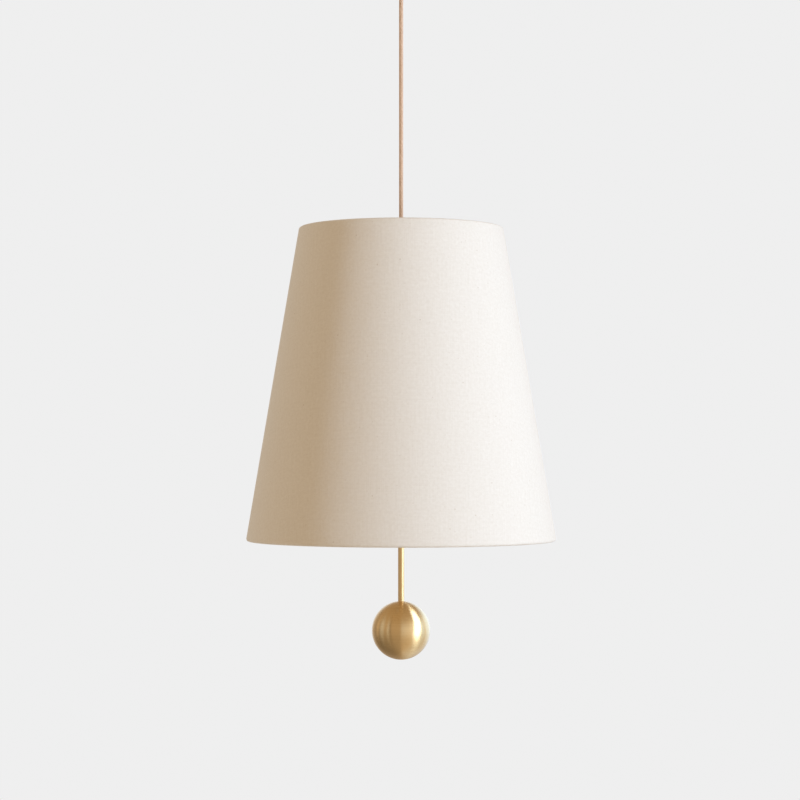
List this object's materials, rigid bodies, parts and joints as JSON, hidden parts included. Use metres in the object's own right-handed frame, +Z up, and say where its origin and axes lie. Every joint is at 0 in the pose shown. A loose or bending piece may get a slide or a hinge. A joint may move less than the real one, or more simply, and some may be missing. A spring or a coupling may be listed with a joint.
{
  "type": "pendant lamp",
  "caption": "Tapered linen pendant shade on a taut textile cord, with a brass drop rod and ball below it and a round ceiling canopy above.",
  "frame": {"origin": "on the ceiling plane, at the middle of the mounting bracket and on the lamp's centre line", "axes": "+Z up into the ceiling, X along the two slots of the bracket, the picture looks along +Y"},
  "size_m": [0.4, 0.4, 0.9193],
  "materials": {
    "linen": "matte plain weave",
    "liner": "matte white sheet",
    "cord_textile": "matte braided textile",
    "satin_brass": "satin, lathe brushed",
    "bare_brass": "machined",
    "zinc_steel": "zinc plated",
    "white_wire": "white powder coat",
    "terminal_plastic": "moulded",
    "phenolic": "moulded",
    "live_insulation": "extruded",
    "neutral_insulation": "extruded",
    "earth_insulation": "extruded",
    "socket_insulation": "extruded",
    "bulb_cap_metal": "rolled thread",
    "frosted_glass": "frosted"
  },
  "bodies": {
    "ceiling_fitting": {"ceiling_bracket": "zinc_steel", "canopy": "satin_brass", "canopy_screws": "satin_brass", "ceiling_cord_grip": "satin_brass", "ceiling_grip_screw": "zinc_steel", "grip_washer": "zinc_steel", "grip_locknut": "zinc_steel", "ceiling_cord_tail": "cord_textile", "terminal_block": "terminal_plastic", "terminal_screws": "bare_brass", "live_lead": "live_insulation", "neutral_lead": "neutral_insulation", "earth_lead": "earth_insulation", "earth_screw": "zinc_steel"},
    "upper_bend": {"cord_upper_bend": "cord_textile"},
    "cord": {"pendant_cord": "cord_textile"},
    "lower_bend": {"cord_lower_bend": "cord_textile"},
    "lamp_grip": {"lamp_cord_grip": "satin_brass", "lamp_grip_screw": "zinc_steel", "lamp_cord_tail": "cord_textile"},
    "lamp": {"lamp_nipple": "zinc_steel", "hub_nuts": "zinc_steel", "hub_washers": "zinc_steel", "top_ring": "white_wire", "bottom_ring": "white_wire", "shade_spider": "white_wire", "shade_liner": "liner", "shade_fabric": "linen", "cluster_cap": "satin_brass", "cluster_body": "satin_brass", "cluster_screws": "satin_brass", "drop_rod": "satin_brass", "rod_nut": "bare_brass", "rod_collar": "satin_brass", "ball_shell": "satin_brass", "ball_bushing": "bare_brass", "left_socket_nipple": "zinc_steel", "left_socket_cap": "satin_brass", "left_socket_shell": "satin_brass", "left_socket_insulator": "phenolic", "left_socket_screw_shell": "bare_brass", "left_socket_contact": "bare_brass", "left_socket_leads": "socket_insulation", "left_bulb_base": "bulb_cap_metal", "left_bulb_globe": "frosted_glass", "right_socket_nipple": "zinc_steel", "right_socket_cap": "satin_brass", "right_socket_shell": "satin_brass", "right_socket_insulator": "phenolic", "right_socket_screw_shell": "bare_brass", "right_socket_contact": "bare_brass", "right_socket_leads": "socket_insulation", "right_bulb_base": "bulb_cap_metal", "right_bulb_globe": "frosted_glass"}
  },
  "joints": [
    {"name": "cord_swing_side", "type": "hinge", "parent": "ceiling_fitting", "child": "upper_bend", "pos_m": [0, 0, -0.049], "axis": [0, 1, 0], "range_deg": [-15, 15]},
    {"name": "cord_swing_front", "type": "hinge", "parent": "upper_bend", "child": "cord", "pos_m": [0, 0, -0.049], "axis": [1, 0, 0], "range_deg": [-15, 15]},
    {"name": "lamp_tip_side", "type": "hinge", "parent": "cord", "child": "lower_bend", "pos_m": [0, 0, -0.356], "axis": [0, 1, 0], "range_deg": [-15, 15]},
    {"name": "lamp_tip_front", "type": "hinge", "parent": "lower_bend", "child": "lamp_grip", "pos_m": [0, 0, -0.356], "axis": [1, 0, 0], "range_deg": [-15, 15]},
    {"name": "lamp_twist", "type": "hinge", "parent": "lamp_grip", "child": "lamp", "pos_m": [0, 0, -0.356], "axis": [0, 0, 1], "range_deg": [-90, 90], "stiffness_Nm_per_rad": 0.01}
  ]
}
